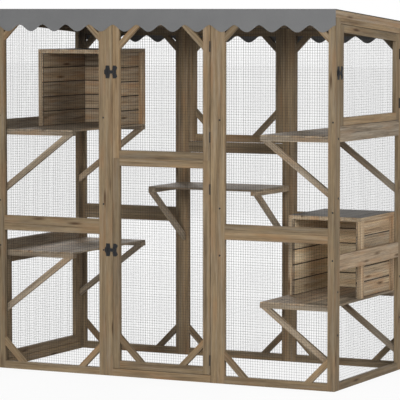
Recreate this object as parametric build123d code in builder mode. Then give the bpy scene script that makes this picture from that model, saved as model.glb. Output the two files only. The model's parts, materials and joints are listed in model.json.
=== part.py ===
from build123d import *
import math
import os

# A walk-in cat enclosure: batten walls with wire mesh under a sloping covered roof,
# with two front doors, three hatches, shelves, a bridge and two sleeping houses inside.
# Millimetres. X runs along the front to the right, Y to the back and Z up.
# The origin is on the floor in the middle of the footprint.

# Overall sizes
width = 1815.0
depth = 845.0
front_height = 1780.0
rear_height = 1718.5

# Timber
batten_width = 37.0
batten_thick = 20.0
brace_width = 28.0
board_width = 74.0
plank_width = 77.0
plank_gap = 0.6
plank_thick = 10.0

# Wall layout
centre_frame_width = 602.0
mid_rail_centre = 726.5
upper_board_low = 1162.0
lower_board_low = 562.0
side_top_rail = 26.0
rear_cross_rail_low = 1049.0
rear_cross_rail_height = 54.0
door_split_height = 1062.0
door_edge_gap = 2.0

# Corner braces, measured along each leg to the outer edge of the brace
low_brace_leg = 118.0
top_brace_leg = 80.0
front_door_low_leg = 130.0
front_door_top_leg = 117.0

# Roof
roof_rail_height = 33.0
deck_thick = 3.0
cover_thick = 1.0
valance_gap = 1.0
valance_drop = 109.0
lobe_depth = 34.0
lobe_count = 14

# Wire mesh
net_thick = 1.2
net_wire = 3.0
net_pitch = 170.0
net_lap = 12.0

# Shelves and bridge
shelf_width = 382.5
shelf_setback = 37.5
shelf_deck_thick = 9.0
upper_shelf_top = 1189.0
lower_left_shelf_top = 588.0
lower_right_shelf_top = 398.0
shelf_brace_drop = 280.0
bridge_top = 895.0
bridge_deck_thick = 10.0
bridge_depth = 377.5
bridge_brace_drop = 270.0

# Houses
house_depth = 440.0
house_height = 388.0
house_roof_thick = 20.0

# Upper hinges and latches, down from the top of their wall
front_hinge_drop = 177.0
rear_hinge_drop = 158.5
front_latch_drop = 303.0
side_latch_drop = 296.0
rear_latch_drop = 326.5

# Butt hinges
hinge_gap = 3.0
leaf_thick = 1.2
leaf_depth = 18.0
knuckle_radius = 3.0
pin_radius = 1.5
pin_clearance = 0.05
hinge_length = 50.0
knuckle_space = 0.5
knuckle_standoff = 0.1

# Latches
latch_gap = 1.5
latch_plate_thick = 1.2
hasp_lift = 1.0
hasp_strap_height = 16.0
hasp_axis_inset = 5.0
hasp_knuckle_radius = 2.4
hasp_pin_radius = 1.0
slot_offset = 27.0
slot_width = 8.0
slot_height = 26.0
staple_neck_radius = 2.0
staple_head_width = 5.0
staple_head_length = 22.0
staple_head_thick = 2.5
staple_head_chamfer = 1.6

# Sizes that follow from the ones above
half_width = width / 2
half_depth = depth / 2
half_centre = centre_frame_width / 2
roof_slope = (front_height - rear_height) / depth
roof_thick = roof_rail_height + deck_thick + cover_thick
door_half = half_centre - batten_width
side_door_half = half_depth - batten_thick - batten_width
wall_face = half_width - batten_thick - net_thick
rear_face = half_depth - batten_thick - net_thick
shelf_inner = wall_face - (shelf_width - net_thick)
shelf_half_depth = depth / 2 - shelf_setback


# Height of the roof's underside, above the floor, at a distance y from the middle
def roof_underside(y):
    return front_height - roof_thick - roof_slope * (y + half_depth)


front_wall_height = roof_underside(-half_depth + batten_thick)
rear_wall_height = roof_underside(half_depth)


# Outlines
def rectangle(low_a, low_b, high_a, high_b):
    return [(low_a, low_b), (high_a, low_b), (high_a, high_b), (low_a, high_b)]


# A flat piece parallel to the front, drawn in X and Z, with its rear face at y = back
def upright(outline, back, thick):
    with BuildPart() as piece:
        with BuildSketch(Plane.XZ.offset(-back)):
            Polygon(*outline, align=None)
        extrude(amount=thick)
    return piece.part


# A flat piece parallel to the sides, drawn in Y and Z, that starts at x = low
def crosswise(outline, low, thick):
    with BuildPart() as piece:
        with BuildSketch(Plane.YZ.offset(low)):
            Polygon(*outline, align=None)
        extrude(amount=thick)
    return piece.part


# A level piece, drawn in X and Y, that starts at z = low
def level(outline, low, thick):
    with BuildPart() as piece:
        with BuildSketch(Plane.XY.offset(low)):
            Polygon(*outline, align=None)
        extrude(amount=thick)
    return piece.part


def save(name, pieces):
    if len(pieces) == 1:
        body = pieces[0]
    else:
        body = Compound(children=list(pieces))
    body.label = name
    export_step(body, f"parts/{name}.step")


os.makedirs("parts", exist_ok=True)

# Each wall is drawn as seen from outside, about its own middle: X to the right,
# the outer face at y = 0 and the thickness towards +Y, then turned into place.
walls = {
    "front": Location((0, -half_depth, 0)),
    "right": Location((half_width, 0, 0), (0, 0, 90)),
    "rear": Location((0, half_depth, 0), (0, 0, 180)),
    "left": Location((-half_width, 0, 0), (0, 0, -90)),
}


def on_wall(wall, pieces):
    return [piece.moved(walls[wall]) for piece in pieces]


# Walls
# A diagonal brace across a frame's corner; step_x and step_z point into the frame
def corner_brace(corner_x, corner_z, step_x, step_z, leg):
    inner_leg = leg - brace_width * math.sqrt(2)
    outline = [
        (corner_x + step_x * leg, corner_z),
        (corner_x, corner_z + step_z * leg),
        (corner_x, corner_z + step_z * inner_leg),
        (corner_x + step_x * inner_leg, corner_z),
    ]
    return upright(outline, batten_thick, batten_thick)


def low_braces(left, right, low, leg):
    return [corner_brace(left, low, 1, 1, leg), corner_brace(right, low, -1, 1, leg)]


def top_braces(left, right, top, leg):
    return [corner_brace(left, top, 1, -1, leg), corner_brace(right, top, -1, -1, leg)]


# One batten that stands, with a top that may slope
def stile(left, low, top_left, top_right):
    right = left + batten_width
    outline = [(left, low), (right, low), (right, top_right), (left, top_left)]
    return upright(outline, batten_thick, batten_thick)


def rail(left, right, low, height):
    return upright(rectangle(left, low, right, low + height), batten_thick, batten_thick)


# A bay of a long wall: two stiles, four rails and a brace in each corner
def bay_frame(left, right, height):
    inner_left = left + batten_width
    inner_right = right - batten_width
    pieces = [
        stile(left, 0, height, height),
        stile(inner_right, 0, height, height),
        rail(inner_left, inner_right, 0, batten_width),
        rail(inner_left, inner_right, mid_rail_centre - batten_width, batten_width),
        rail(inner_left, inner_right, mid_rail_centre, batten_width),
        rail(inner_left, inner_right, height - batten_width, batten_width),
    ]
    pieces += low_braces(inner_left, inner_right, batten_width, low_brace_leg)
    pieces += top_braces(inner_left, inner_right, height - batten_width, top_brace_leg)
    return pieces


# The narrow middle frame that holds the doors: two stiles and a sill
def centre_frame(height):
    return [
        stile(-half_centre, 0, height, height),
        stile(door_half, 0, height, height),
        rail(-door_half, door_half, 0, batten_width),
    ]


# A short side wall: stiles cut to the roof, a sill, two boards and a sloping top rail
def side_frame(top_at):
    inner = side_door_half
    outer = side_door_half + batten_width
    top_rail = [
        (-inner, top_at(-inner) - side_top_rail),
        (inner, top_at(inner) - side_top_rail),
        (inner, top_at(inner)),
        (-inner, top_at(-inner)),
    ]
    return [
        stile(-outer, 0, top_at(-outer), top_at(-inner)),
        stile(inner, 0, top_at(inner), top_at(outer)),
        rail(-inner, inner, 0, batten_width),
        rail(-inner, inner, lower_board_low, board_width),
        rail(-inner, inner, upper_board_low, board_width),
        upright(top_rail, batten_thick, batten_thick),
    ]


def right_top(x):
    return roof_underside(x)


def left_top(x):
    return roof_underside(-x)


save("front_left_panel_frame",
     on_wall("front", bay_frame(-half_width, -half_centre, front_wall_height)))
save("front_right_panel_frame",
     on_wall("front", bay_frame(half_centre, half_width, front_wall_height)))
save("front_centre_frame", on_wall("front", centre_frame(front_wall_height)))
save("rear_right_panel_frame",
     on_wall("rear", bay_frame(-half_width, -half_centre, rear_wall_height)))
save("rear_left_panel_frame",
     on_wall("rear", bay_frame(half_centre, half_width, rear_wall_height)))
rear_centre = centre_frame(rear_wall_height)
rear_centre.append(rail(-door_half, door_half, rear_cross_rail_low, rear_cross_rail_height))
rear_centre += low_braces(-door_half, door_half, batten_width, low_brace_leg)
save("rear_centre_frame", on_wall("rear", rear_centre))
save("right_side_frame", on_wall("right", side_frame(right_top)))
save("left_side_frame", on_wall("left", side_frame(left_top)))


# Wire mesh, as a holed sheet on the inner faces of the battens
# Its last row of holes follows the top edge, which may slope
def net(left, right, low, top_at):
    columns = round((right - left) / net_pitch)
    lowest_top = min(top_at(left), top_at(right))
    rows = max(2, round((lowest_top - low) / net_pitch))
    column_step = (right - left - net_wire) / columns
    row_step = (lowest_top - low - net_wire) / rows
    outline = [(left, low), (right, low), (right, top_at(right)), (left, top_at(left))]
    top_row_low = low + net_wire + (rows - 1) * row_step
    back = batten_thick + net_thick
    with BuildPart() as piece:
        with BuildSketch(Plane.XZ.offset(-back)):
            Polygon(*outline, align=None)
            middle = ((left + right) / 2, (low + net_wire + top_row_low - net_wire) / 2)
            with Locations(middle):
                with GridLocations(column_step, row_step, columns, rows - 1):
                    Rectangle(column_step - net_wire, row_step - net_wire, mode=Mode.SUBTRACT)
            for column in range(columns):
                hole_left = left + net_wire + column * column_step
                hole_right = hole_left + column_step - net_wire
                hole = [
                    (hole_left, top_row_low),
                    (hole_right, top_row_low),
                    (hole_right, top_at(hole_right) - net_wire),
                    (hole_left, top_at(hole_left) - net_wire),
                ]
                Polygon(*hole, align=None, mode=Mode.SUBTRACT)
        extrude(amount=net_thick)
    return piece.part


def level_top(height):
    return lambda x: height


bay_net_inner = half_centre + batten_width - net_lap
bay_net_outer = half_width - batten_width + net_lap
sill_net_low = batten_width - net_lap
front_net_top = level_top(front_wall_height - batten_width + net_lap)
rear_net_top = level_top(rear_wall_height - batten_width + net_lap)
side_net_half = side_door_half + net_lap

save("front_fixed_mesh", on_wall("front", [
    net(-bay_net_outer, -bay_net_inner, sill_net_low, front_net_top),
    net(bay_net_inner, bay_net_outer, sill_net_low, front_net_top),
]))
save("rear_fixed_mesh", on_wall("rear", [
    net(-bay_net_outer, -bay_net_inner, sill_net_low, rear_net_top),
    net(bay_net_inner, bay_net_outer, sill_net_low, rear_net_top),
    net(-door_half - net_lap, door_half + net_lap, sill_net_low,
        level_top(rear_cross_rail_low + net_lap)),
]))
save("right_side_mesh", on_wall("right", [
    net(-side_net_half, side_net_half, sill_net_low, level_top(upper_board_low + net_lap)),
]))
save("left_side_mesh", on_wall("left", [
    net(-side_net_half, side_net_half, lower_board_low,
        lambda x: left_top(x) - side_top_rail + net_lap),
]))


# Roof
front_edge = -half_depth
rear_edge = half_depth


# A strip of the roof between two depths, from one height above its underside to another
def roof_strip(near, far, lift, thick, low_x, length):
    outline = [
        (near, roof_underside(near) + lift),
        (far, roof_underside(far) + lift),
        (far, roof_underside(far) + lift + thick),
        (near, roof_underside(near) + lift + thick),
    ]
    return crosswise(outline, low_x, length)


inner_near = front_edge + batten_width
inner_far = rear_edge - batten_width
roof_rails = [
    roof_strip(front_edge, rear_edge, 0, roof_rail_height, -half_width, batten_width),
    roof_strip(front_edge, rear_edge, 0, roof_rail_height, half_width - batten_width, batten_width),
    roof_strip(front_edge, inner_near, 0, roof_rail_height,
               -half_width + batten_width, width - 2 * batten_width),
    roof_strip(inner_far, rear_edge, 0, roof_rail_height,
               -half_width + batten_width, width - 2 * batten_width),
]
for cross_x in (-half_centre, half_centre):
    roof_rails.append(roof_strip(inner_near, inner_far, 0, roof_rail_height,
                                 cross_x - batten_width / 2, batten_width))
save("roof_frame", roof_rails)
save("roof_deck", [roof_strip(front_edge, rear_edge, roof_rail_height, deck_thick,
                              -half_width, width)])

valance_outer = half_depth + valance_gap + cover_thick
save("roof_cover", [roof_strip(-valance_outer, valance_outer, roof_rail_height + deck_thick,
                               cover_thick, -half_width, width)])


# The hanging edge of the cover: a strip that ends in a row of rounded lobes
def valance(top, roof_top, back):
    notch_height = roof_top - valance_drop + lobe_depth
    pitch = width / lobe_count
    with BuildPart() as piece:
        with BuildSketch(Plane.XZ.offset(-back)):
            with BuildLine():
                Polyline((-half_width, notch_height), (-half_width, top),
                         (half_width, top), (half_width, notch_height))
                for lobe in range(lobe_count):
                    lobe_left = -half_width + lobe * pitch
                    ThreePointArc(
                        (lobe_left, notch_height),
                        (lobe_left + pitch / 2, notch_height - lobe_depth),
                        (lobe_left + pitch, notch_height),
                    )
            make_face()
        extrude(amount=cover_thick)
    return piece.part


# The valance hangs from the underside of the cover's overhang
def cover_underside(y):
    return roof_underside(y) + roof_rail_height + deck_thick


save("front_valance", [valance(cover_underside(-half_depth - valance_gap), front_height,
                               -half_depth - valance_gap)])
save("rear_valance", [valance(cover_underside(valance_outer), rear_height, valance_outer)])


# Shelves: planks laid front to back on two battens, each with a diagonal brace to the wall
def mirrored_x(outline, side):
    return [(side * x, y) for x, y in outline]


# Planks laid side by side, from near to far
def plank_row(near, far):
    count = round((far - near) / plank_width)
    step = (far - near) / count
    return [(near + i * step, near + (i + 1) * step - plank_gap) for i in range(count)]


def shelf_deck(side, top):
    pieces = []
    for inner, outer in plank_row(shelf_inner, wall_face + plank_gap):
        outline = rectangle(inner, -shelf_half_depth, outer, shelf_half_depth)
        outline = mirrored_x(outline, side)
        pieces.append(level(outline, top - shelf_deck_thick, shelf_deck_thick))
    return pieces


def shelf_supports(side, top):
    batten_low = top - shelf_deck_thick - batten_thick
    run = wall_face - shelf_inner - shelf_brace_drop * 0.03
    rise = brace_width * math.hypot(run, shelf_brace_drop) / run
    shift = brace_width * math.hypot(run, shelf_brace_drop) / shelf_brace_drop
    brace = mirrored_x([
        (wall_face - run, batten_low),
        (wall_face - run + shift, batten_low),
        (wall_face, batten_low - shelf_brace_drop + rise),
        (wall_face, batten_low - shelf_brace_drop),
    ], side)
    pieces = []
    for near in (-shelf_half_depth, shelf_half_depth - batten_width):
        outline = mirrored_x(rectangle(shelf_inner, near, wall_face, near + batten_width), side)
        pieces.append(level(outline, batten_low, batten_thick))
    for back in (-shelf_half_depth + batten_thick, shelf_half_depth):
        pieces.append(upright(brace, back, batten_thick))
    return pieces


shelves = {
    "upper_left": (-1, upper_shelf_top),
    "upper_right": (1, upper_shelf_top),
    "lower_left": (-1, lower_left_shelf_top),
    "lower_right": (1, lower_right_shelf_top),
}
for name, (side, top) in shelves.items():
    save(f"{name}_shelf_deck", shelf_deck(side, top))
    save(f"{name}_shelf_supports", shelf_supports(side, top))


# Bridge: a plank deck on two arms that stand out from the rear wall, each with a brace
bridge_near = half_depth - batten_thick - bridge_depth
bridge_low = bridge_top - bridge_deck_thick
arm_low = bridge_low - batten_thick
bridge_planks = [
    level(rectangle(-half_centre, near, half_centre, far), bridge_low, bridge_deck_thick)
    for near, far in plank_row(bridge_near, rear_face + plank_gap)
]
save("bridge_deck", bridge_planks)

bridge_run = rear_face - bridge_near
bridge_rise = brace_width * math.hypot(bridge_run, bridge_brace_drop) / bridge_run
bridge_shift = brace_width * math.hypot(bridge_run, bridge_brace_drop) / bridge_brace_drop
bridge_brace = [
    (bridge_near, arm_low),
    (rear_face, arm_low - bridge_brace_drop),
    (rear_face, arm_low - bridge_brace_drop + bridge_rise),
    (bridge_near + bridge_shift, arm_low),
]
bridge_supports = []
for arm_x in (-half_centre, half_centre - batten_width):
    bridge_supports.append(level(rectangle(arm_x, bridge_near, arm_x + batten_width, rear_face),
                                 arm_low, batten_thick))
for brace_x in (-half_centre, half_centre - batten_thick):
    bridge_supports.append(crosswise(bridge_brace, brace_x, batten_thick))
save("bridge_supports", bridge_supports)


# Houses: posts in the corners, plank walls on three sides, an open front and a flat roof
house_far = shelf_half_depth
house_near = house_far - house_depth
house_wall_height = house_height - house_roof_thick


def house_posts(side, floor):
    pieces = []
    for post_x in (shelf_inner, wall_face - batten_thick):
        for post_y in (house_near, house_far - batten_width):
            outline = rectangle(post_x, post_y, post_x + batten_thick, post_y + batten_width)
            pieces.append(level(mirrored_x(outline, side), floor, house_wall_height))
    return pieces


def house_walls(side, floor):
    inner_side = shelf_inner + batten_thick
    outer_side = wall_face - batten_thick
    walls_seen_above = [
        rectangle(inner_side, house_near, inner_side + plank_thick, house_far),
        rectangle(outer_side - plank_thick, house_near, outer_side, house_far),
        rectangle(inner_side + plank_thick, house_far - plank_thick,
                  outer_side - plank_thick, house_far),
    ]
    pieces = []
    for low, high in plank_row(floor, floor + house_wall_height + plank_gap):
        for outline in walls_seen_above:
            pieces.append(level(mirrored_x(outline, side), low, high - low))
    return pieces


def house_roof(side, floor):
    outline = mirrored_x(rectangle(shelf_inner, house_near, wall_face, house_far), side)
    return [level(outline, floor + house_wall_height, house_roof_thick)]


houses = {
    "upper_house": (-1, upper_shelf_top),
    "lower_house": (1, lower_right_shelf_top),
}
for name, (side, floor) in houses.items():
    save(f"{name}_posts", house_posts(side, floor))
    save(f"{name}_walls", house_walls(side, floor))
    save(f"{name}_roof", house_roof(side, floor))


# Doors and hatches
# A door fills the gap between two stiles, with its free edge on the left seen from outside
def door_frame(half_opening, low, top_at, low_leg, top_leg):
    left = -half_opening + latch_gap
    right = half_opening - hinge_gap
    inner_left = left + batten_width
    inner_right = right - batten_width
    top_rail = [
        (inner_left, top_at(inner_left) - batten_width),
        (inner_right, top_at(inner_right) - batten_width),
        (inner_right, top_at(inner_right)),
        (inner_left, top_at(inner_left)),
    ]
    pieces = [
        stile(left, low, top_at(left), top_at(inner_left)),
        stile(inner_right, low, top_at(inner_right), top_at(right)),
        rail(inner_left, inner_right, low, batten_width),
        upright(top_rail, batten_thick, batten_thick),
    ]
    if low_leg:
        pieces += low_braces(inner_left, inner_right, low + batten_width, low_leg)
    if top_leg:
        pieces += top_braces(inner_left, inner_right, top_at(0) - batten_width, top_leg)
    return pieces


def door_mesh(half_opening, low, top_at):
    left = -half_opening + latch_gap + batten_width - net_lap
    right = half_opening - hinge_gap - batten_width + net_lap
    return [net(left, right, low + batten_width - net_lap,
                lambda x: top_at(x) - batten_width + net_lap)]


# Hinges
# A leaf lies in the gap beside the door and reaches out to its knuckles on the pin's axis
hinge_axis_out = knuckle_radius + knuckle_standoff
bore_radius = pin_radius + pin_clearance
knuckle_length = (hinge_length - 2 * knuckle_space) / 3
leaf_front = -hinge_axis_out + knuckle_radius + 2 * knuckle_standoff


# Knuckles are given as spans along the pin; edge is the leaf's outer face, at the wood
# The door's knuckle is bored to turn on the pin, which is fast in the frame's two knuckles
def hinge_leaf(axis_x, edge, towards, middle, spans, bored):
    leaf_low_x = min(edge, edge + towards * leaf_thick)
    base = middle - hinge_length / 2
    with BuildPart() as leaf:
        with BuildSketch(Plane.XY.offset(base)):
            with Locations((leaf_low_x, leaf_front)):
                Rectangle(leaf_thick, leaf_depth, align=(Align.MIN, Align.MIN))
        extrude(amount=hinge_length)
        for low, high in spans:
            with BuildSketch(Plane.XY.offset(base + low)):
                with Locations((axis_x, -hinge_axis_out)):
                    Circle(knuckle_radius)
                with Locations((leaf_low_x, -hinge_axis_out)):
                    Rectangle(leaf_thick, leaf_front + hinge_axis_out,
                              align=(Align.MIN, Align.MIN))
                if bored:
                    with Locations((axis_x, -hinge_axis_out)):
                        Circle(bore_radius, mode=Mode.SUBTRACT)
            extrude(amount=high - low)
        if not bored:
            with BuildSketch(Plane.XY.offset(base)):
                with Locations((axis_x, -hinge_axis_out)):
                    Circle(pin_radius)
            extrude(amount=hinge_length)
    return leaf.part


outer_knuckles = [(0, knuckle_length), (hinge_length - knuckle_length, hinge_length)]
middle_knuckle = [(knuckle_length + knuckle_space, hinge_length - knuckle_length - knuckle_space)]


def hinge_for_frame(half_opening, middle):
    axis_x = half_opening - hinge_gap / 2
    return hinge_leaf(axis_x, half_opening, -1, middle, outer_knuckles, bored=False)


def hinge_for_door(half_opening, middle):
    axis_x = half_opening - hinge_gap / 2
    return hinge_leaf(axis_x, half_opening - hinge_gap, 1, middle, middle_knuckle,
                      bored=True)


# Latches
# A plate on the frame carries a turning staple, and a plate on the door a hinged hasp
hasp_axis_out = latch_plate_thick + hasp_lift + latch_plate_thick / 2
hasp_bore_radius = hasp_pin_radius + pin_clearance
hasp_low = latch_plate_thick + hasp_lift
staple_bore_radius = staple_neck_radius + pin_clearance
head_low = hasp_low + 2 * latch_plate_thick
plate_half = 31.0


def mirrored_outline(upper_half):
    return upper_half + [(x, -z) for x, z in reversed(upper_half)]


def latch_base(edge, middle):
    half_outline = [
        (edge - 43.0, 9.0),
        (edge - 36.0, 14.0),
        (edge - 35.0, plate_half),
        (edge - 15.0, plate_half),
        (edge - 12.0, 12.0),
    ]
    outline = [(x, middle + z) for x, z in mirrored_outline(half_outline)]
    with BuildPart() as plate:
        with BuildSketch(Plane.XZ):
            Polygon(*outline, align=None)
            with Locations((edge - slot_offset, middle)):
                Circle(staple_bore_radius, mode=Mode.SUBTRACT)
        extrude(amount=latch_plate_thick)
    return plate.part


def latch_staple(edge, middle):
    turn = (edge - slot_offset, middle)
    with BuildPart() as staple:
        with BuildSketch(Plane.XZ.offset(pin_clearance)):
            with Locations(turn):
                Circle(staple_neck_radius)
        extrude(amount=head_low - pin_clearance)
        with BuildSketch(Plane.XZ.offset(head_low)):
            with Locations(turn):
                head = Rectangle(staple_head_width, staple_head_length)
            chamfer(head.vertices(), length=staple_head_chamfer)
        extrude(amount=staple_head_thick)
    return staple.part


def latch_door_plate(edge, middle):
    axis_x = edge + hasp_axis_inset
    notch_x = axis_x + hasp_knuckle_radius + knuckle_space
    notch_half = hasp_strap_height / 2 + knuckle_space
    half_outline = [
        (notch_x, notch_half),
        (edge + latch_gap + 1.0, notch_half),
        (edge + latch_gap + 3.0, plate_half),
        (edge + 20.0, plate_half),
        (edge + 29.0, 22.0),
        (edge + 22.0, 7.0),
    ]
    outline = [(x, middle + z) for x, z in mirrored_outline(half_outline)]
    reach = notch_half + 5.5
    with BuildPart() as plate:
        with BuildSketch(Plane.XZ):
            Polygon(*outline, align=None)
        extrude(amount=latch_plate_thick)
        for low in (middle - reach, middle + notch_half):
            with BuildSketch(Plane.XY.offset(low)):
                with Locations((axis_x, -hasp_axis_out)):
                    Circle(hasp_knuckle_radius)
            extrude(amount=reach - notch_half)
        with BuildSketch(Plane.XY.offset(middle - reach)):
            with Locations((axis_x, -hasp_axis_out)):
                Circle(hasp_pin_radius)
        extrude(amount=2 * reach)
    return plate.part


def latch_hasp(edge, middle):
    axis_x = edge + hasp_axis_inset
    strap_half = hasp_strap_height / 2
    half_outline = [
        (edge - slot_offset - 11.0, 9.0),
        (edge - slot_offset - 8.0, 18.0),
        (edge - slot_offset + 8.0, 18.0),
        (edge - slot_offset + 12.0, strap_half),
        (axis_x, strap_half),
    ]
    outline = [(x, middle + z) for x, z in mirrored_outline(half_outline)]
    with BuildPart() as hasp:
        with BuildSketch(Plane.XZ.offset(hasp_low)):
            Polygon(*outline, align=None)
            with Locations((edge - slot_offset, middle)):
                Rectangle(slot_width, slot_height, mode=Mode.SUBTRACT)
        extrude(amount=latch_plate_thick)
        with BuildSketch(Plane.XY.offset(middle - strap_half)):
            with Locations((axis_x, -hasp_axis_out)):
                Circle(hasp_knuckle_radius)
        extrude(amount=hasp_strap_height)
        with BuildSketch(Plane.XY.offset(middle - strap_half)):
            with Locations((axis_x, -hasp_axis_out)):
                Circle(hasp_bore_radius)
        extrude(amount=hasp_strap_height, mode=Mode.SUBTRACT)
    return hasp.part


side_board_top = upper_board_low + board_width
front_door_top = level_top(front_wall_height - door_edge_gap)
rear_hatch_low = rear_cross_rail_low + rear_cross_rail_height + door_edge_gap
doors = {
    "front_upper_door": {
        "wall": "front", "half_opening": door_half,
        "low": door_split_height + door_edge_gap / 2, "top_at": front_door_top,
        "low_leg": 0, "top_leg": front_door_top_leg,
        "hinges": (front_height - front_hinge_drop, 1174.0),
        "latch": front_height - front_latch_drop,
    },
    "front_lower_door": {
        "wall": "front", "half_opening": door_half,
        "low": batten_width + door_edge_gap,
        "top_at": level_top(door_split_height - door_edge_gap / 2),
        "low_leg": front_door_low_leg, "top_leg": 0,
        "hinges": (926.0, 108.0), "latch": 615.0,
    },
    "right_hatch": {
        "wall": "right", "half_opening": side_door_half,
        "low": side_board_top + door_edge_gap,
        "top_at": lambda x: right_top(x) - side_top_rail - door_edge_gap,
        "low_leg": 0, "top_leg": 0,
        "hinges": (rear_height - rear_hinge_drop, 1320.0),
        "latch": front_height - side_latch_drop,
    },
    "left_hatch": {
        "wall": "left", "half_opening": side_door_half,
        "low": batten_width + door_edge_gap,
        "top_at": level_top(lower_board_low - door_edge_gap),
        "low_leg": 0, "top_leg": 0,
        "hinges": (480.0, 120.0), "latch": 300.0,
    },
    "rear_hatch": {
        "wall": "rear", "half_opening": door_half,
        "low": rear_hatch_low, "top_at": level_top(rear_wall_height - door_edge_gap),
        "low_leg": front_door_low_leg, "top_leg": top_brace_leg,
        "hinges": (rear_height - rear_hinge_drop, 1210.0),
        "latch": rear_height - rear_latch_drop,
    },
}

frame_hinges = []
base_plates = []
for name, door in doors.items():
    wall = door["wall"]
    opening = door["half_opening"]
    save(f"{name}_frame", on_wall(wall, door_frame(
        opening, door["low"], door["top_at"], door["low_leg"], door["top_leg"])))
    save(f"{name}_mesh", on_wall(wall, door_mesh(opening, door["low"], door["top_at"])))
    ironwork = [hinge_for_door(opening, middle) for middle in door["hinges"]]
    ironwork.append(latch_door_plate(-opening, door["latch"]))
    save(f"{name}_ironwork", on_wall(wall, ironwork))
    save(f"{name}_hasp", on_wall(wall, [latch_hasp(-opening, door["latch"])]))
    save(f"{name}_staple", on_wall(wall, [latch_staple(-opening, door["latch"])]))
    for middle in door["hinges"]:
        frame_hinges += on_wall(wall, [hinge_for_frame(opening, middle)])
    base_plates += on_wall(wall, [latch_base(-opening, door["latch"])])
save("hinge_frame_leaves", frame_hinges)
save("latch_base_plates", base_plates)
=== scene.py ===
import bmesh
import bpy
import json
import math
import random
from mathutils import Euler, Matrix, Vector

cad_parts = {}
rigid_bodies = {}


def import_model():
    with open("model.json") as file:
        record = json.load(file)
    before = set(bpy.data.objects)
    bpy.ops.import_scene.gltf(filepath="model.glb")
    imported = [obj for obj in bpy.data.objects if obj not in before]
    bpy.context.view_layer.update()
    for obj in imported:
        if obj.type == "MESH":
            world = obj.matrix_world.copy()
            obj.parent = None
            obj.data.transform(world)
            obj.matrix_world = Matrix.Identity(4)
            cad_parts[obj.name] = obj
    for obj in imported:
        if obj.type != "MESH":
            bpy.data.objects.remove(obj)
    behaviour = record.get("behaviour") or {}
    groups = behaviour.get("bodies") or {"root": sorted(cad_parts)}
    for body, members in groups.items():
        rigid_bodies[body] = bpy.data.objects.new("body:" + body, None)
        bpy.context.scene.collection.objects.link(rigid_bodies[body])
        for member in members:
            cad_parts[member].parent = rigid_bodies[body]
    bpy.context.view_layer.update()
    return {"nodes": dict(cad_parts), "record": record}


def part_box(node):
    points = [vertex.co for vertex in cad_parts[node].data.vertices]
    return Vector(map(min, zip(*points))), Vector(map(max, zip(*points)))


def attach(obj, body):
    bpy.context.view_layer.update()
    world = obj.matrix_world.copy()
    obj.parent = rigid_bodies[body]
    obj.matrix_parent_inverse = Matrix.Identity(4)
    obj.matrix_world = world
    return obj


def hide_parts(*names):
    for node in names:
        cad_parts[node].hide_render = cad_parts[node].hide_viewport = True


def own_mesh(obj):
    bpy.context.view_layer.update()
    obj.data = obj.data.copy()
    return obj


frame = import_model()
print("frame loaded,", len(frame["nodes"]), "nodes")

for block in list(bpy.data.lights) + list(bpy.data.cameras):
    bpy.data.batch_remove([block])


# Reading the solids of a node, so that a batten can be dressed by itself

def solidsOf(nodeName):
    mesh = frame["nodes"][nodeName].data
    mesh.calc_loop_triangles()
    keys = [tuple(round(c, 6) for c in v.co) for v in mesh.vertices]
    triangles = [[keys[i] for i in t.vertices] for t in mesh.loop_triangles]
    byEdge = {}
    for number, corners in enumerate(triangles):
        for a, b in ((0, 1), (1, 2), (2, 0)):
            byEdge.setdefault(frozenset((corners[a], corners[b])), []).append(number)
    owner = list(range(len(triangles)))

    def top(number):
        while owner[number] != number:
            owner[number] = owner[owner[number]]
            number = owner[number]
        return number

    for users in byEdge.values():
        if len(users) == 2:  # an edge of four triangles is where two solids touch
            owner[top(users[0])] = top(users[1])
    groups = {}
    for number, corners in enumerate(triangles):
        groups.setdefault(top(number), []).append(corners)
    return list(groups.values())


def bodyOf(nodeName):
    for body, nodes in frame["record"]["behaviour"]["bodies"].items():
        if nodeName in nodes:
            return body
    return "enclosure"


# Shader groups

def newGroup(name, inputs, outputs):
    group = bpy.data.node_groups.new(name, "ShaderNodeTree")
    for socketName, kind, value in inputs:
        socket = group.interface.new_socket(socketName, in_out="INPUT", socket_type=kind)
        if value is not None:
            socket.default_value = value
    for socketName, kind in outputs:
        group.interface.new_socket(socketName, in_out="OUTPUT", socket_type=kind)
    return group, group.nodes.new("NodeGroupInput"), group.nodes.new("NodeGroupOutput")


def stretchedNoise(group, source, stretch, detail, roughness):
    mapping = group.nodes.new("ShaderNodeMapping")
    mapping.inputs["Scale"].default_value = stretch
    noise = group.nodes.new("ShaderNodeTexNoise")
    noise.inputs["Scale"].default_value = 1.0
    noise.inputs["Detail"].default_value = detail
    noise.inputs["Roughness"].default_value = roughness
    group.links.new(source, mapping.inputs["Vector"])
    group.links.new(mapping.outputs["Vector"], noise.inputs["Vector"])
    return noise.outputs["Fac"]


def ramp(group, source, stops):
    node = group.nodes.new("ShaderNodeValToRGB")
    elements = node.color_ramp.elements
    while len(elements) > 1:
        elements.remove(elements[-1])
    elements[0].position, first = stops[0]
    elements[0].color = (*first, 1)
    for position, colour in stops[1:]:
        elements.new(position).color = (*colour, 1)
    group.links.new(source, node.inputs["Fac"])
    return node.outputs["Color"]


def blendColour(group, mode, factor, first, second):
    node = group.nodes.new("ShaderNodeMix")
    node.data_type = "RGBA"
    node.blend_type = mode
    for value, socket in ((factor, node.inputs[0]), (first, node.inputs[6]), (second, node.inputs[7])):
        if isinstance(value, (float, int)):
            socket.default_value = value
        elif isinstance(value, tuple):
            socket.default_value = (*value, 1)
        else:
            group.links.new(value, socket)
    return node.outputs[2]


def mathNode(group, operation, first, second):
    node = group.nodes.new("ShaderNodeMath")
    node.operation = operation
    for value, socket in ((first, node.inputs[0]), (second, node.inputs[1])):
        if isinstance(value, (float, int)):
            socket.default_value = value
        else:
            group.links.new(value, socket)
    return node.outputs[0]


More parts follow.
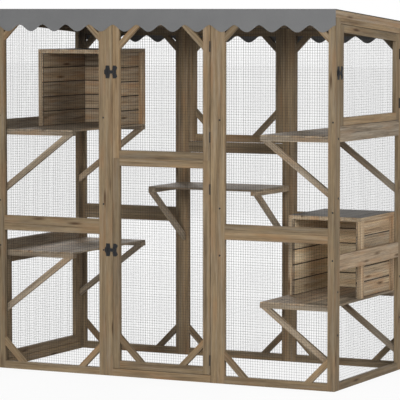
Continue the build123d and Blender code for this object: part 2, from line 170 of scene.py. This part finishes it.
# Weathered grain, in metres along, across and through a batten. Each noise has
# its repeats per metre, its detail and its roughness
grainSettings = {
    "broad": ((1.6, 42, 42), 3, 0.6), "streak": ((5, 210, 210), 5, 0.68),
    "fibre": ((26, 900, 900), 2, 0.5), "blotch": ((5, 22, 22), 2, 0.5),
    "silver": ((3.5, 70, 70), 4, 0.6), "knotSpacing": (3.2, 19, 19),
    "streakShare": 0.55, "broadShare": 0.45, "fibreStrength": 0.8,
    "roughBase": 0.62, "roughRange": 0.25, "streakHeight": 0.7, "fibreHeight": 0.3,
    "shadeStops": [(0.36, (0, 0, 0)), (0.64, (1, 1, 1))],
    "rustStops": [(0.5, (0, 0, 0)), (0.7, (0.62, 0.62, 0.62))],
    "silverStops": [(0.48, (0, 0, 0)), (0.68, (0.6, 0.6, 0.6))],
    "knotStops": [(0.05, (0.3, 0.22, 0.16)), (0.17, (1, 1, 1))],
    "fibreStops": [(0.3, (0.72, 0.72, 0.72)), (0.6, (1.08, 1.08, 1.08))],
    "toneStops": [(0.0, (0.8, 0.79, 0.78)), (0.35, (0.95, 0.93, 0.9)),
                  (0.65, (1.05, 1.02, 0.98)), (1.0, (1.16, 1.07, 0.97))],
}
grainGroup, grainIn, grainOut = newGroup(
    "weatheredGrain",
    [("Vector", "NodeSocketVector", None), ("Tone", "NodeSocketFloat", 0.5),
     ("Dark", "NodeSocketColor", (0.1, 0.07, 0.04, 1)),
     ("Light", "NodeSocketColor", (0.35, 0.26, 0.16, 1)),
     ("Rust", "NodeSocketColor", (0.3, 0.15, 0.07, 1)),
     ("Silver", "NodeSocketColor", (0.3, 0.27, 0.23, 1))],
    [("Color", "NodeSocketColor"), ("Roughness", "NodeSocketFloat"), ("Height", "NodeSocketFloat")],
)


def fillGrainGroup():
    group = grainGroup
    settings = grainSettings
    place = grainIn.outputs["Vector"]
    broad, streak, fibre, blotch, silver = (
        stretchedNoise(group, place, *settings[key])
        for key in ("broad", "streak", "fibre", "blotch", "silver"))
    knots = group.nodes.new("ShaderNodeTexVoronoi")
    stretch = group.nodes.new("ShaderNodeMapping")
    stretch.inputs["Scale"].default_value = settings["knotSpacing"]
    group.links.new(place, stretch.inputs["Vector"])
    group.links.new(stretch.outputs["Vector"], knots.inputs["Vector"])
    knots.inputs["Scale"].default_value = 1.0
    mixed = mathNode(group, "ADD", mathNode(group, "MULTIPLY", streak, settings["streakShare"]),
                     mathNode(group, "MULTIPLY", broad, settings["broadShare"]))
    shade = ramp(group, mixed, settings["shadeStops"])
    colour = blendColour(group, "MIX", shade, grainIn.outputs["Dark"], grainIn.outputs["Light"])
    rustMask = ramp(group, blotch, settings["rustStops"])
    colour = blendColour(group, "MIX", rustMask, colour, grainIn.outputs["Rust"])
    silverMask = ramp(group, silver, settings["silverStops"])
    colour = blendColour(group, "MIX", silverMask, colour, grainIn.outputs["Silver"])
    knotMask = ramp(group, knots.outputs["Distance"], settings["knotStops"])
    colour = blendColour(group, "MULTIPLY", 1.0, colour, knotMask)
    fibreTone = ramp(group, fibre, settings["fibreStops"])
    colour = blendColour(group, "MULTIPLY", settings["fibreStrength"], colour, fibreTone)
    toneColour = ramp(group, grainIn.outputs["Tone"], settings["toneStops"])
    colour = blendColour(group, "MULTIPLY", 1.0, colour, toneColour)
    group.links.new(colour, grainOut.inputs["Color"])
    rough = mathNode(group, "ADD", mathNode(group, "MULTIPLY", streak, settings["roughRange"]),
                     settings["roughBase"])
    group.links.new(rough, grainOut.inputs["Roughness"])
    height = mathNode(group, "ADD", mathNode(group, "MULTIPLY", streak, settings["streakHeight"]),
                      mathNode(group, "MULTIPLY", fibre, settings["fibreHeight"]))
    group.links.new(height, grainOut.inputs["Height"])


fillGrainGroup()


def emptyMaterial(name):
    material = bpy.data.materials.new(name)
    material.use_nodes = True
    tree = material.node_tree
    return material, tree, tree.nodes["Principled BSDF"]


def addBump(tree, shader, height, strength, distance):
    bump = tree.nodes.new("ShaderNodeBump")
    bump.inputs["Strength"].default_value = strength
    bump.inputs["Distance"].default_value = distance
    tree.links.new(height, bump.inputs["Height"])
    tree.links.new(bump.outputs["Normal"], shader.inputs["Normal"])


def woodMaterial(name, colours):
    material, tree, shader = emptyMaterial(name)
    place = tree.nodes.new("ShaderNodeAttribute")
    place.attribute_name = "grainPlace"
    tone = tree.nodes.new("ShaderNodeAttribute")
    tone.attribute_name = "tone"
    grain = tree.nodes.new("ShaderNodeGroup")
    grain.node_tree = grainGroup
    tree.links.new(place.outputs["Vector"], grain.inputs["Vector"])
    tree.links.new(tone.outputs["Fac"], grain.inputs["Tone"])
    for key in ("Dark", "Light", "Rust", "Silver"):
        grain.inputs[key].default_value = (*colours[key], 1)
    tree.links.new(grain.outputs["Color"], shader.inputs["Base Color"])
    tree.links.new(grain.outputs["Roughness"], shader.inputs["Roughness"])
    shader.inputs["Specular IOR Level"].default_value = 0.25
    addBump(tree, shader, grain.outputs["Height"], 0.5, 0.0008)
    return material


woodColours = {
    "frame": {"Dark": (0.082, 0.056, 0.032), "Light": (0.275, 0.206, 0.122),
              "Rust": (0.215, 0.13, 0.067), "Silver": (0.235, 0.197, 0.147)},
    # brighter wood for the shelves and bridge inside the netting: painted light, in place of light that
    # barely reaches them
    "innerPaintedLight": {"Dark": (0.13, 0.1, 0.07), "Light": (0.46, 0.375, 0.27),
              "Rust": (0.32, 0.21, 0.12), "Silver": (0.41, 0.365, 0.3)},
    "board": {"Dark": (0.09, 0.069, 0.049), "Light": (0.36, 0.29, 0.208),
              "Rust": (0.26, 0.17, 0.1), "Silver": (0.33, 0.295, 0.24)},
    # paler copy of the house wood for the lower house's inner faces: painted light inside the house
    "palePaintedLight": {"Dark": (0.45, 0.33, 0.2), "Light": (0.86, 0.72, 0.5),
             "Rust": (0.6, 0.4, 0.22), "Silver": (0.75, 0.66, 0.5)},
    "roof": {"Dark": (0.12, 0.085, 0.05), "Light": (0.36, 0.28, 0.19),
             "Rust": (0.26, 0.155, 0.08), "Silver": (0.28, 0.24, 0.19)},
    "house": {"Dark": (0.17, 0.115, 0.07), "Light": (0.58, 0.455, 0.305),
              "Rust": (0.42, 0.25, 0.13), "Silver": (0.5, 0.44, 0.35)},
    # near-black wood for the chamfers between wall planks: painted shade in the grooves, with some dirt
    "seamShadeAndDirt": {"Dark": (0.03, 0.021, 0.014), "Light": (0.085, 0.062, 0.042),
             "Rust": (0.07, 0.045, 0.026), "Silver": (0.07, 0.06, 0.05)},
    "dark": {"Dark": (0.055, 0.05, 0.046), "Light": (0.17, 0.155, 0.14),
             "Rust": (0.12, 0.1, 0.08), "Silver": (0.2, 0.19, 0.17)},
}
woods = {key: woodMaterial(key + "Wood", colours) for key, colours in woodColours.items()}


ironSettings = {"dark": (0.005, 0.005, 0.006), "light": (0.016, 0.017, 0.019), "speckle": 240}
wireSettings = {"dark": (0.012, 0.011, 0.01), "light": (0.03, 0.028, 0.026), "speckle": 60}


def ironMaterial():
    material, tree, shader = emptyMaterial("blackIron")
    noise = tree.nodes.new("ShaderNodeTexNoise")
    noise.inputs["Scale"].default_value = ironSettings["speckle"]
    spot = ramp(tree, noise.outputs["Fac"], [(0.35, ironSettings["dark"]), (0.7, ironSettings["light"])])
    tree.links.new(spot, shader.inputs["Base Color"])
    shader.inputs["Specular IOR Level"].default_value = 0.3
    rough = mathNode(tree, "ADD", mathNode(tree, "MULTIPLY", noise.outputs["Fac"], 0.2), 0.5)
    tree.links.new(rough, shader.inputs["Roughness"])
    addBump(tree, shader, noise.outputs["Fac"], 0.15, 0.0004)
    return material


def wireMaterial():
    material, tree, shader = emptyMaterial("galvanisedWire")
    noise = tree.nodes.new("ShaderNodeTexNoise")
    noise.inputs["Scale"].default_value = wireSettings["speckle"]
    tint = ramp(tree, noise.outputs["Fac"], [(0.3, wireSettings["dark"]), (0.7, wireSettings["light"])])
    tree.links.new(tint, shader.inputs["Base Color"])
    shader.inputs["Specular IOR Level"].default_value = 0.2
    shader.inputs["Roughness"].default_value = 0.6
    return material


def coverMaterial(name, low, high):
    material, tree, shader = emptyMaterial(name)
    coordinates = tree.nodes.new("ShaderNodeTexCoord")
    cloudy = stretchedNoise(tree, coordinates.outputs["Object"], (5, 5, 5), 4, 0.6)
    weave = stretchedNoise(tree, coordinates.outputs["Object"], (900, 900, 900), 2, 0.5)
    tint = ramp(tree, cloudy, [(0.3, low), (0.7, high)])
    speckle = ramp(tree, weave, [(0.3, (0.85, 0.85, 0.85)), (0.7, (1.1, 1.1, 1.1))])
    tree.links.new(blendColour(tree, "MULTIPLY", 1.0, tint, speckle), shader.inputs["Base Color"])
    shader.inputs["Roughness"].default_value = 0.85
    addBump(tree, shader, weave, 0.2, 0.0004)
    return material


iron = ironMaterial()
wire = wireMaterial()
coverCloth = coverMaterial("coverCloth", (0.113, 0.114, 0.116), (0.128, 0.129, 0.13))
deckBoard = coverMaterial("deckBoard", (0.01, 0.009, 0.009), (0.022, 0.02, 0.019))
print("materials made")


# Timber: every batten, board and plank gets eased edges and grain along its length

timberSettings = {"edgeEase": 0.0007, "plankEase": 0.003, "grainShift": 40.0, "seed": 7,
                  "boardHeight": (0.07, 0.078), "flatNormal": 0.93,
                  "plankGrow": 0.0004,  # closes the light between planks
                  "doorGapCover": 0.0016}  # the upper door's foot hides the gap under it
timberRandom = random.Random(timberSettings["seed"])


def longestEdge(work):
    best = max(work.edges, key=lambda e: e.calc_length())
    return (best.verts[1].co - best.verts[0].co).normalized()


def easedSolid(corners, ease, grow, doorFoot):
    work = bmesh.new()
    made = {}
    for triangle in corners:
        for place in triangle:
            if place not in made:
                made[place] = work.verts.new(place)
        work.faces.new([made[place] for place in triangle])
    bmesh.ops.recalc_face_normals(work, faces=work.faces[:])
    work.normal_update()
    bmesh.ops.dissolve_limit(work, angle_limit=math.radians(1), verts=work.verts[:], edges=work.edges[:])
    along = longestEdge(work)
    across = max(work.edges, key=lambda e: (round(along.cross(
        (e.verts[1].co - e.verts[0].co).normalized()).length, 2), e.calc_length()))
    across = (across.verts[1].co - across.verts[0].co).normalized()
    across = (across - along * across.dot(along)).normalized()
    middle = sum(vert.co.z for vert in work.verts) / len(work.verts)
    for vert in work.verts:
        vert.co.z += grow if vert.co.z > middle else -grow
        if doorFoot is not None and vert.co.z < doorFoot + 0.0001:
            vert.co.z -= timberSettings["doorGapCover"]
    bmesh.ops.bevel(work, geom=work.edges[:], offset=ease, segments=2,
                    profile=0.5, affect="EDGES", clamp_overlap=True)
    return work, along, across, along.cross(across)


def isSideBoard(nodeName, corners):
    heights = [place[2] for triangle in corners for place in triangle]
    low, high = timberSettings["boardHeight"]
    return nodeName.endswith("_side_frame") and low < max(heights) - min(heights) < high


def finishOrPaintedLightOf(nodeName, sideBoard, face):
    # 0 is the node's own wood, 1 the wood that turns away from it (on the lower house's inner faces a
    # paler copy, painted light), 2 near-black wood on the plank chamfers, painted shade and dirt in the
    # grooves
    if nodeName.endswith("_house_roof"):
        return 0 if face.normal.z > 0.3 else 1
    if nodeName.endswith("_walls"):
        # chamfer faces of the wall planks take the near-black wood: painted shade and dirt in the
        # grooves
        if max(abs(c) for c in face.normal) < timberSettings["flatNormal"]:
            return 2
        low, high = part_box(nodeName)
        inward = (Vector(low) + Vector(high)) / 2 - face.calc_center_median()
        inward.z = 0
        # inward faces of the lower house walls take the paler copy of the wood: painted light inside the
        # house
        return 1 if nodeName == "lower_house_walls" and face.normal.dot(inward) > 0 else 0
    return 1 if sideBoard else 0


# the lower house walls' second wood is the paler copy: painted light on their inner faces
secondWoodOrPaintedLight = {"lower_house_walls": "palePaintedLight", "lower_house_roof": "house", "upper_house_roof": "house"}


def dressTimber(nodeName, material):
    points, faces, places, tones, finishesOrPaintedLight = [], [], [], [], []
    ease = timberSettings["plankEase" if nodeName.endswith(("_walls", "_deck")) else "edgeEase"]
    grow = timberSettings["plankGrow"] if nodeName.endswith("_walls") else 0
    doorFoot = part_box(nodeName)[0][2] if nodeName == "front_upper_door_frame" else None
    for corners in solidsOf(nodeName):
        work, along, across, third = easedSolid(corners, ease, grow, doorFoot)
        work.normal_update()
        sideBoard = isSideBoard(nodeName, corners)
        shift = [timberRandom.uniform(0, timberSettings["grainShift"]) for _ in range(3)]
        tone = timberRandom.random()
        start = len(points)
        work.verts.index_update()
        for vert in work.verts:
            points.append(vert.co.copy())
            places.append((vert.co.dot(along) + shift[0], vert.co.dot(across) + shift[1],
                           vert.co.dot(third) + shift[2]))
            tones.append(tone)
        for face in work.faces:
            faces.append([start + v.index for v in face.verts])
            finishesOrPaintedLight.append(finishOrPaintedLightOf(nodeName, sideBoard, face))
        work.free()
    mesh = bpy.data.meshes.new(nodeName + "Timber")
    mesh.from_pydata(points, [], faces)
    grain = mesh.attributes.new("grainPlace", "FLOAT_VECTOR", "POINT")
    grain.data.foreach_set("vector", [c for place in places for c in place])
    toneData = mesh.attributes.new("tone", "FLOAT", "POINT")
    toneData.data.foreach_set("value", tones)
    mesh.materials.append(material)
    if any(finishesOrPaintedLight):
        mesh.materials.append(woods[secondWoodOrPaintedLight.get(nodeName, "board")])
        # third slot: near-black chamfer wood, painted shade and dirt in the grooves
        mesh.materials.append(woods["seamShadeAndDirt"])
        mesh.polygons.foreach_set("material_index", finishesOrPaintedLight)
    piece = bpy.data.objects.new(nodeName + "Timber", mesh)
    bpy.context.collection.objects.link(piece)
    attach(piece, bodyOf(nodeName))
    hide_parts(nodeName)
    return piece


def woodFor(nodeName):
    if nodeName.endswith("_house_roof"):
        return "dark"
    if "_house_" in nodeName:
        return "house"
    if "shelf" in nodeName or "bridge" in nodeName:
        # shelves and bridge take the brighter wood: painted light inside the enclosure
        return "innerPaintedLight"
    if nodeName == "roof_frame":
        return "roof"
    return "frame"


timberEndings = ("_frame", "_shelf_deck", "_shelf_supports", "bridge_deck", "bridge_supports",
                 "_posts", "_walls", "_house_roof")
for nodeName in sorted(frame["nodes"]):
    if nodeName.endswith(timberEndings):
        wood = woodFor(nodeName)
        piece = dressTimber(nodeName, woods[wood])
print("timber dressed")


# Wire mesh: straight welded wires over each net's own outline

netSettings = {
    "pitch": 0.0127,
    # finer on the far sides, where two nets stand in line
    "wireWidth": {"front": 0.0007, "right": 0.0005, "rear": 0.0004, "left": 0.0004},
}


def addWire(points, faces, start, end, wide, deep):
    first = len(points)
    for end3 in (start, end):
        points.extend([end3 - wide - deep, end3 + wide - deep, end3 + wide + deep, end3 - wide + deep])
    for side in range(4):
        after = (side + 1) % 4
        faces.append((first + side, first + after, first + 4 + after, first + 4 + side))


def dressNet(nodeName):
    half = netSettings["wireWidth"][nodeName.split("_")[0]] / 2
    points, faces = [], []
    for corners in solidsOf(nodeName):
        places = [Vector(p) for triangle in corners for p in triangle]
        low = Vector([min(p[i] for p in places) for i in range(3)])
        high = Vector([max(p[i] for p in places) for i in range(3)])
        flat = 1 if high.y - low.y < high.x - low.x else 0
        run = 1 - flat
        topAt = [max(p.z for p in places if abs(p[run] - edge) < 1e-4) for edge in (low[run], high[run])]
        depthMiddle = (low[flat] + high[flat]) / 2

        def spot(along, height, lift):
            place = Vector((0, 0, height))
            place[run] = along
            place[flat] = depthMiddle + lift
            return place

        span = high[run] - low[run]
        runAxis = Vector((0, 0, 0))
        runAxis[run] = half
        flatAxis = Vector((0, 0, 0))
        flatAxis[flat] = half
        count = round(span / netSettings["pitch"])
        for i in range(count + 1):
            along = low[run] + half + (span - 2 * half) * i / count
            top = topAt[0] + (topAt[1] - topAt[0]) * i / count
            addWire(points, faces, spot(along, low.z, -half * 0.6), spot(along, top, -half * 0.6),
                    runAxis, flatAxis)
        rows = int((max(topAt) - low.z) / netSettings["pitch"])
        for row in range(rows + 1):
            height = low.z + half + row * netSettings["pitch"]
            left, right = low[run], high[run]
            if height > min(topAt):
                cut = (height - topAt[0]) / (topAt[1] - topAt[0])
                if topAt[0] > topAt[1]:
                    right = left + span * cut
                else:
                    left = left + span * cut
            addWire(points, faces, spot(left, height, half * 0.6), spot(right, height, half * 0.6),
                    Vector((0, 0, half)), flatAxis)
    mesh = bpy.data.meshes.new(nodeName + "Wires")
    mesh.from_pydata(points, [], faces)
    mesh.materials.append(wire)
    piece = bpy.data.objects.new(nodeName + "Wires", mesh)
    bpy.context.collection.objects.link(piece)
    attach(piece, bodyOf(nodeName))
    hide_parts(nodeName)
    return piece


for nodeName in sorted(frame["nodes"]):
    if nodeName.endswith("_mesh"):
        dressNet(nodeName)
print("wire mesh drawn")


# Cover: one sheet over the roof, with a scalloped edge hanging at the front and the rear

coverSettings = {
    "lobes": 14, "lobeDepth": 0.034, "lobeSharpness": 1.6, "columnsPerLobe": 12, "rows": 8,
    "ripple": 0.0012, "roofColumns": 48, "roofRows": 24,
    "frontTop": 1.780, "rearTop": 1.7185, "depth": 0.845,
    "foldKeep": 0.3, "frontFoldTop": 1.779, "rearFoldTop": 1.7174,
}


def sheetObject(name, points, faces, body, *nodes):
    mesh = bpy.data.meshes.new(name)
    mesh.from_pydata(points, [], faces)
    for polygon in mesh.polygons:
        polygon.use_smooth = True
    mesh.materials.append(coverCloth)
    piece = bpy.data.objects.new(name, mesh)
    bpy.context.collection.objects.link(piece)
    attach(piece, body)
    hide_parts(*nodes)
    return piece


def gridFaces(columns, rows):
    wide = columns + 1
    return [(r * wide + c, r * wide + c + 1, (r + 1) * wide + c + 1, (r + 1) * wide + c)
            for r in range(rows) for c in range(columns)]


def lobeDrop(share):
    pitchShare = (share * coverSettings["lobes"]) % 1.0
    return coverSettings["lobeDepth"] * math.sin(math.pi * pitchShare) ** coverSettings["lobeSharpness"]


def hangingEdge(name, nodeName, faceOut):
    low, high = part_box(nodeName)
    columns = coverSettings["lobes"] * coverSettings["columnsPerLobe"]
    rows = coverSettings["rows"]
    outY = low[1] if faceOut < 0 else high[1]
    points = []
    for row in range(rows + 1):
        down = row / rows
        for column in range(columns + 1):
            share = column / columns
            x = low[0] + (high[0] - low[0]) * share
            notch = low[2] + coverSettings["lobeDepth"]
            bottom = notch - lobeDrop(min(share, 1 - 1e-9))
            z = high[2] + (bottom - high[2]) * down
            wave = math.sin(share * 61) * 0.6 + math.sin(share * 23 + 1) * 0.4
            points.append((x, outY + faceOut * coverSettings["ripple"] * down * wave, z))
    piece = sheetObject(name, points, gridFaces(columns, rows), "enclosure", nodeName)
    return piece


def roofSheet():
    low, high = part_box("roof_cover")
    columns, rows = coverSettings["roofColumns"], coverSettings["roofRows"]
    frontTop, rearTop = coverSettings["frontTop"], coverSettings["rearTop"]
    slope = (frontTop - rearTop) / coverSettings["depth"]
    middleTop = (frontTop + rearTop) / 2
    points = []
    for row in range(rows + 1):
        y = low[1] + (high[1] - low[1]) * row / rows
        for column in range(columns + 1):
            x = low[0] + (high[0] - low[0]) * column / columns
            points.append((x, y, middleTop - slope * y))
    piece = sheetObject("roofSheet", points, gridFaces(columns, rows), "enclosure", "roof_cover")
    return piece


roofSheet()
frontEdge = hangingEdge("frontCoverEdge", "front_valance", -1)
rearEdge = hangingEdge("rearCoverEdge", "rear_valance", 1)
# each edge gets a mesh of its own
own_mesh(frontEdge)
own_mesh(rearEdge)
print("cover hung")


# Finishes of the pieces that keep their own shape

ironEndings = ("_ironwork", "_hasp", "_staple", "hinge_frame_leaves", "latch_base_plates")
for nodeName, node in frame["nodes"].items():
    finish = None
    if nodeName.endswith(ironEndings):
        finish = iron
    if nodeName == "roof_deck":
        finish = deckBoard
    if finish:
        node.data.materials.clear()
        node.data.materials.append(finish)


# Screws: dark domed heads where battens meet

screwSettings = {
    "radius": 0.0046, "sideRadius": 0.0062, "rise": 0.0014,
    "frontX": (0.313, 0.895), "frontZ": (1.256, 0.837, 0.613),
    "sideY": 0.386, "sideZ": (1.179, 0.902, 0.465, 0.262),
    "halfWidth": 0.9075, "halfDepth": 0.4225, "sides": 12,
    "rings": ((1.0, 0.0), (0.8, 0.75)),  # share of the radius, share of the rise
}


def screwHeads(name, placed):
    points, faces = [], []
    sides = screwSettings["sides"]
    for centre, outward in placed:
        side = outward.cross(Vector((0, 0, 1)))
        radius = screwSettings["sideRadius" if abs(outward.x) > 0.5 else "radius"]
        first = len(points)
        for share, lift in screwSettings["rings"]:
            for i in range(sides):
                angle = i * math.tau / sides
                around = side * math.cos(angle) + Vector((0, 0, math.sin(angle)))
                points.append(centre + around * radius * share
                              + outward * screwSettings["rise"] * lift)
        points.append(centre + outward * screwSettings["rise"])
        for i in range(sides):
            after = (i + 1) % sides
            faces.append((first + i, first + after, first + sides + after, first + sides + i))
            faces.append((first + sides + i, first + sides + after, first + 2 * sides))
    mesh = bpy.data.meshes.new(name)
    mesh.from_pydata(points, [], faces)
    for polygon in mesh.polygons:
        polygon.use_smooth = True
    mesh.materials.append(iron)
    piece = bpy.data.objects.new(name, mesh)
    bpy.context.collection.objects.link(piece)
    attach(piece, "enclosure")
    return piece


placed = []
for side in (-1, 1):
    for z in screwSettings["frontZ"]:
        for x in screwSettings["frontX"]:
            for face in (-1, 1):
                placed.append((Vector((side * x, face * screwSettings["halfDepth"], z)),
                               Vector((0, face, 0))))
    for z in screwSettings["sideZ"]:
        for face in (-1, 1):
            placed.append((Vector((side * screwSettings["halfWidth"],
                                   face * screwSettings["sideY"], z)),
                           Vector((side, 0, 0))))
screwHeads("screwHeads", placed)
print("screws placed")


# Studio: pale floor, soft light and the photograph's camera

studioSettings = {
    "floorReach": 60, "floorColour": (0.85, 0.85, 0.85, 1), "floorWhite": 0.9,
    "ambient": 0.44,
    "lamps": (("keyLamp", (1.5, -9.0, 3.2), 480, 2.2),
              ("sideLamp", (6.5, -2.5, 3.0), 240, 2.5),
              ("rearLamp", (-4.5, 7.5, 3.6), 260, 2.5)),
    "lampAim": (0, 0, 0.9),
    "cameraPlace": (5.47277, -11.05259, 1.78022), "cameraTilt": 85.63109, "cameraTurn": 26.3436,
    "lens": 225.14, "sensorWidth": 36,
}


def studio():
    scene = bpy.context.scene
    scene.view_settings.view_transform = "Standard"
    material, tree, shader = emptyMaterial("studioFloor")
    shader.inputs["Base Color"].default_value = studioSettings["floorColour"]
    shader.inputs["Roughness"].default_value = 0.9
    path = tree.nodes.new("ShaderNodeLightPath")
    bright = tree.nodes.new("ShaderNodeEmission")
    bright.inputs["Strength"].default_value = 1.0
    seen = mathNode(tree, "MAXIMUM", path.outputs["Is Camera Ray"], path.outputs["Is Glossy Ray"])
    mix = tree.nodes.new("ShaderNodeMixShader")
    tree.links.new(mathNode(tree, "MULTIPLY", seen, studioSettings["floorWhite"]), mix.inputs["Fac"])
    tree.links.new(shader.outputs["BSDF"], mix.inputs[1])
    tree.links.new(bright.outputs["Emission"], mix.inputs[2])
    tree.links.new(mix.outputs["Shader"], tree.nodes["Material Output"].inputs["Surface"])
    mesh = bpy.data.meshes.new("floor")
    reach = studioSettings["floorReach"]
    mesh.from_pydata([(-reach, -reach, 0), (reach, -reach, 0), (reach, reach, 0), (-reach, reach, 0)],
                     [], [(0, 1, 2, 3)])
    mesh.materials.append(material)
    floor = bpy.data.objects.new("floor", mesh)
    bpy.context.collection.objects.link(floor)
    world = bpy.data.worlds.new("studioWorld")
    scene.world = world
    world.use_nodes = True
    nodes, links = world.node_tree.nodes, world.node_tree.links
    background = nodes["Background"]
    background.inputs["Color"].default_value = (1, 1, 1, 1)
    lightPath = nodes.new("ShaderNodeLightPath")
    ambient = studioSettings["ambient"]
    extra = mathNode(world.node_tree, "MULTIPLY", lightPath.outputs["Is Camera Ray"], 1 - ambient)
    strength = mathNode(world.node_tree, "ADD", extra, ambient)
    links.new(strength, background.inputs["Strength"])
    for name, place, power, size in studioSettings["lamps"]:
        lamp = bpy.data.lights.new(name, "AREA")
        lamp.energy = power
        lamp.size = size
        item = bpy.data.objects.new(name, lamp)
        item.location = place
        aim = Vector(studioSettings["lampAim"]) - Vector(place)
        item.rotation_euler = aim.to_track_quat("-Z", "Y").to_euler()
        bpy.context.collection.objects.link(item)
    camera = bpy.data.cameras.new("photoCamera")
    camera.sensor_width = studioSettings["sensorWidth"]
    camera.lens = studioSettings["lens"]
    camera.clip_end = 200
    item = bpy.data.objects.new("photoCamera", camera)
    item.location = studioSettings["cameraPlace"]
    item.rotation_euler = Euler((math.radians(studioSettings["cameraTilt"]), 0,
                                 math.radians(studioSettings["cameraTurn"])))
    bpy.context.collection.objects.link(item)
    scene.camera = item


studio()
print("studio set")
